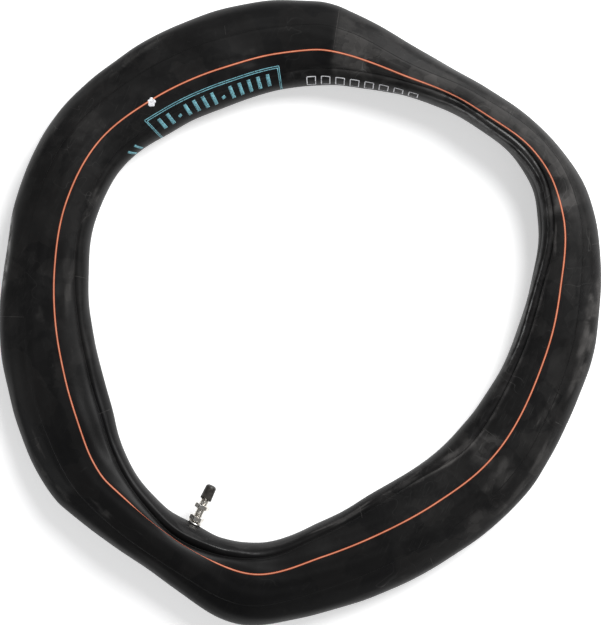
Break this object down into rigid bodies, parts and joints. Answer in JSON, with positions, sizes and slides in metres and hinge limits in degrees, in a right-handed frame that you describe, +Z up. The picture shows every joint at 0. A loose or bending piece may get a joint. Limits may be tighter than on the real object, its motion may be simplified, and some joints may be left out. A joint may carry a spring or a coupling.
{
  "type": "inner tube",
  "caption": "Motorcycle inner tube of black rubber, part inflated and lying flat, with a clamp-in metal valve, two hexagon nuts and a screw cap.",
  "frame": {"origin": "middle of the ring's bounding box, on the surface that the tube lies on", "axes": "+Z up, across the flat-lying ring; +Y is the direction that the valve points in, from the ring's wall towards its middle"},
  "size_m": [0.532, 0.5354, 0.053],
  "materials": {
    "butyl_rubber": "satin black butyl, lightly dusted with talc",
    "patch_rubber": "matt black rubber",
    "nickel_plate": "bright nickel plate",
    "cap_plastic": "dark grey-brown moulded plastic",
    "seal_rubber": "matt black rubber",
    "brass": "turned brass",
    "spring_steel": "drawn wire"
  },
  "bodies": {
    "tube": {"inner_tube": "butyl_rubber", "valve_patch": "patch_rubber", "bridge_washer": "nickel_plate", "valve_stem": "nickel_plate", "core_plug": "brass", "core_barrel": "brass", "core_barrel_seal": "seal_rubber", "core_spring": "spring_steel"},
    "base_nut": {"base_nut": "nickel_plate"},
    "rim_nut": {"rim_nut": "nickel_plate"},
    "cap_carrier": {"cap_seal": "seal_rubber"},
    "cap": {"valve_cap": "cap_plastic"},
    "core_pin": {"core_pin": "brass", "core_cup": "brass", "core_cup_seal": "seal_rubber"}
  },
  "joints": [
    {"name": "base_nut_travel", "type": "slide", "parent": "tube", "child": "base_nut", "axis": [0, 1, 0], "range_m": [0, 0.0025]},
    {"name": "rim_nut_travel", "type": "slide", "parent": "tube", "child": "rim_nut", "axis": [0, 1, 0], "range_m": [-0.0043, 0.0047]},
    {"name": "cap_lift", "type": "slide", "parent": "tube", "child": "cap_carrier", "axis": [0, 1, 0], "range_m": [0, 0.00992]},
    {"name": "cap_turn", "type": "hinge", "parent": "cap_carrier", "child": "cap", "pos_m": [0.00335, -0.18006, 0.023], "axis": [0, 1, 0], "range_deg": [0, 4500]},
    {"name": "core_pin_press", "type": "slide", "parent": "tube", "child": "core_pin", "axis": [0, -1, 0], "range_m": [0, 0.0013], "stiffness_N_per_m": 500, "springref_m": -0.002, "deforming": ["core_spring"]}
  ],
  "couplings": [
    {"joint": "cap_turn", "follows": "cap_lift", "rad_per_m": 7915.8}
  ]
}
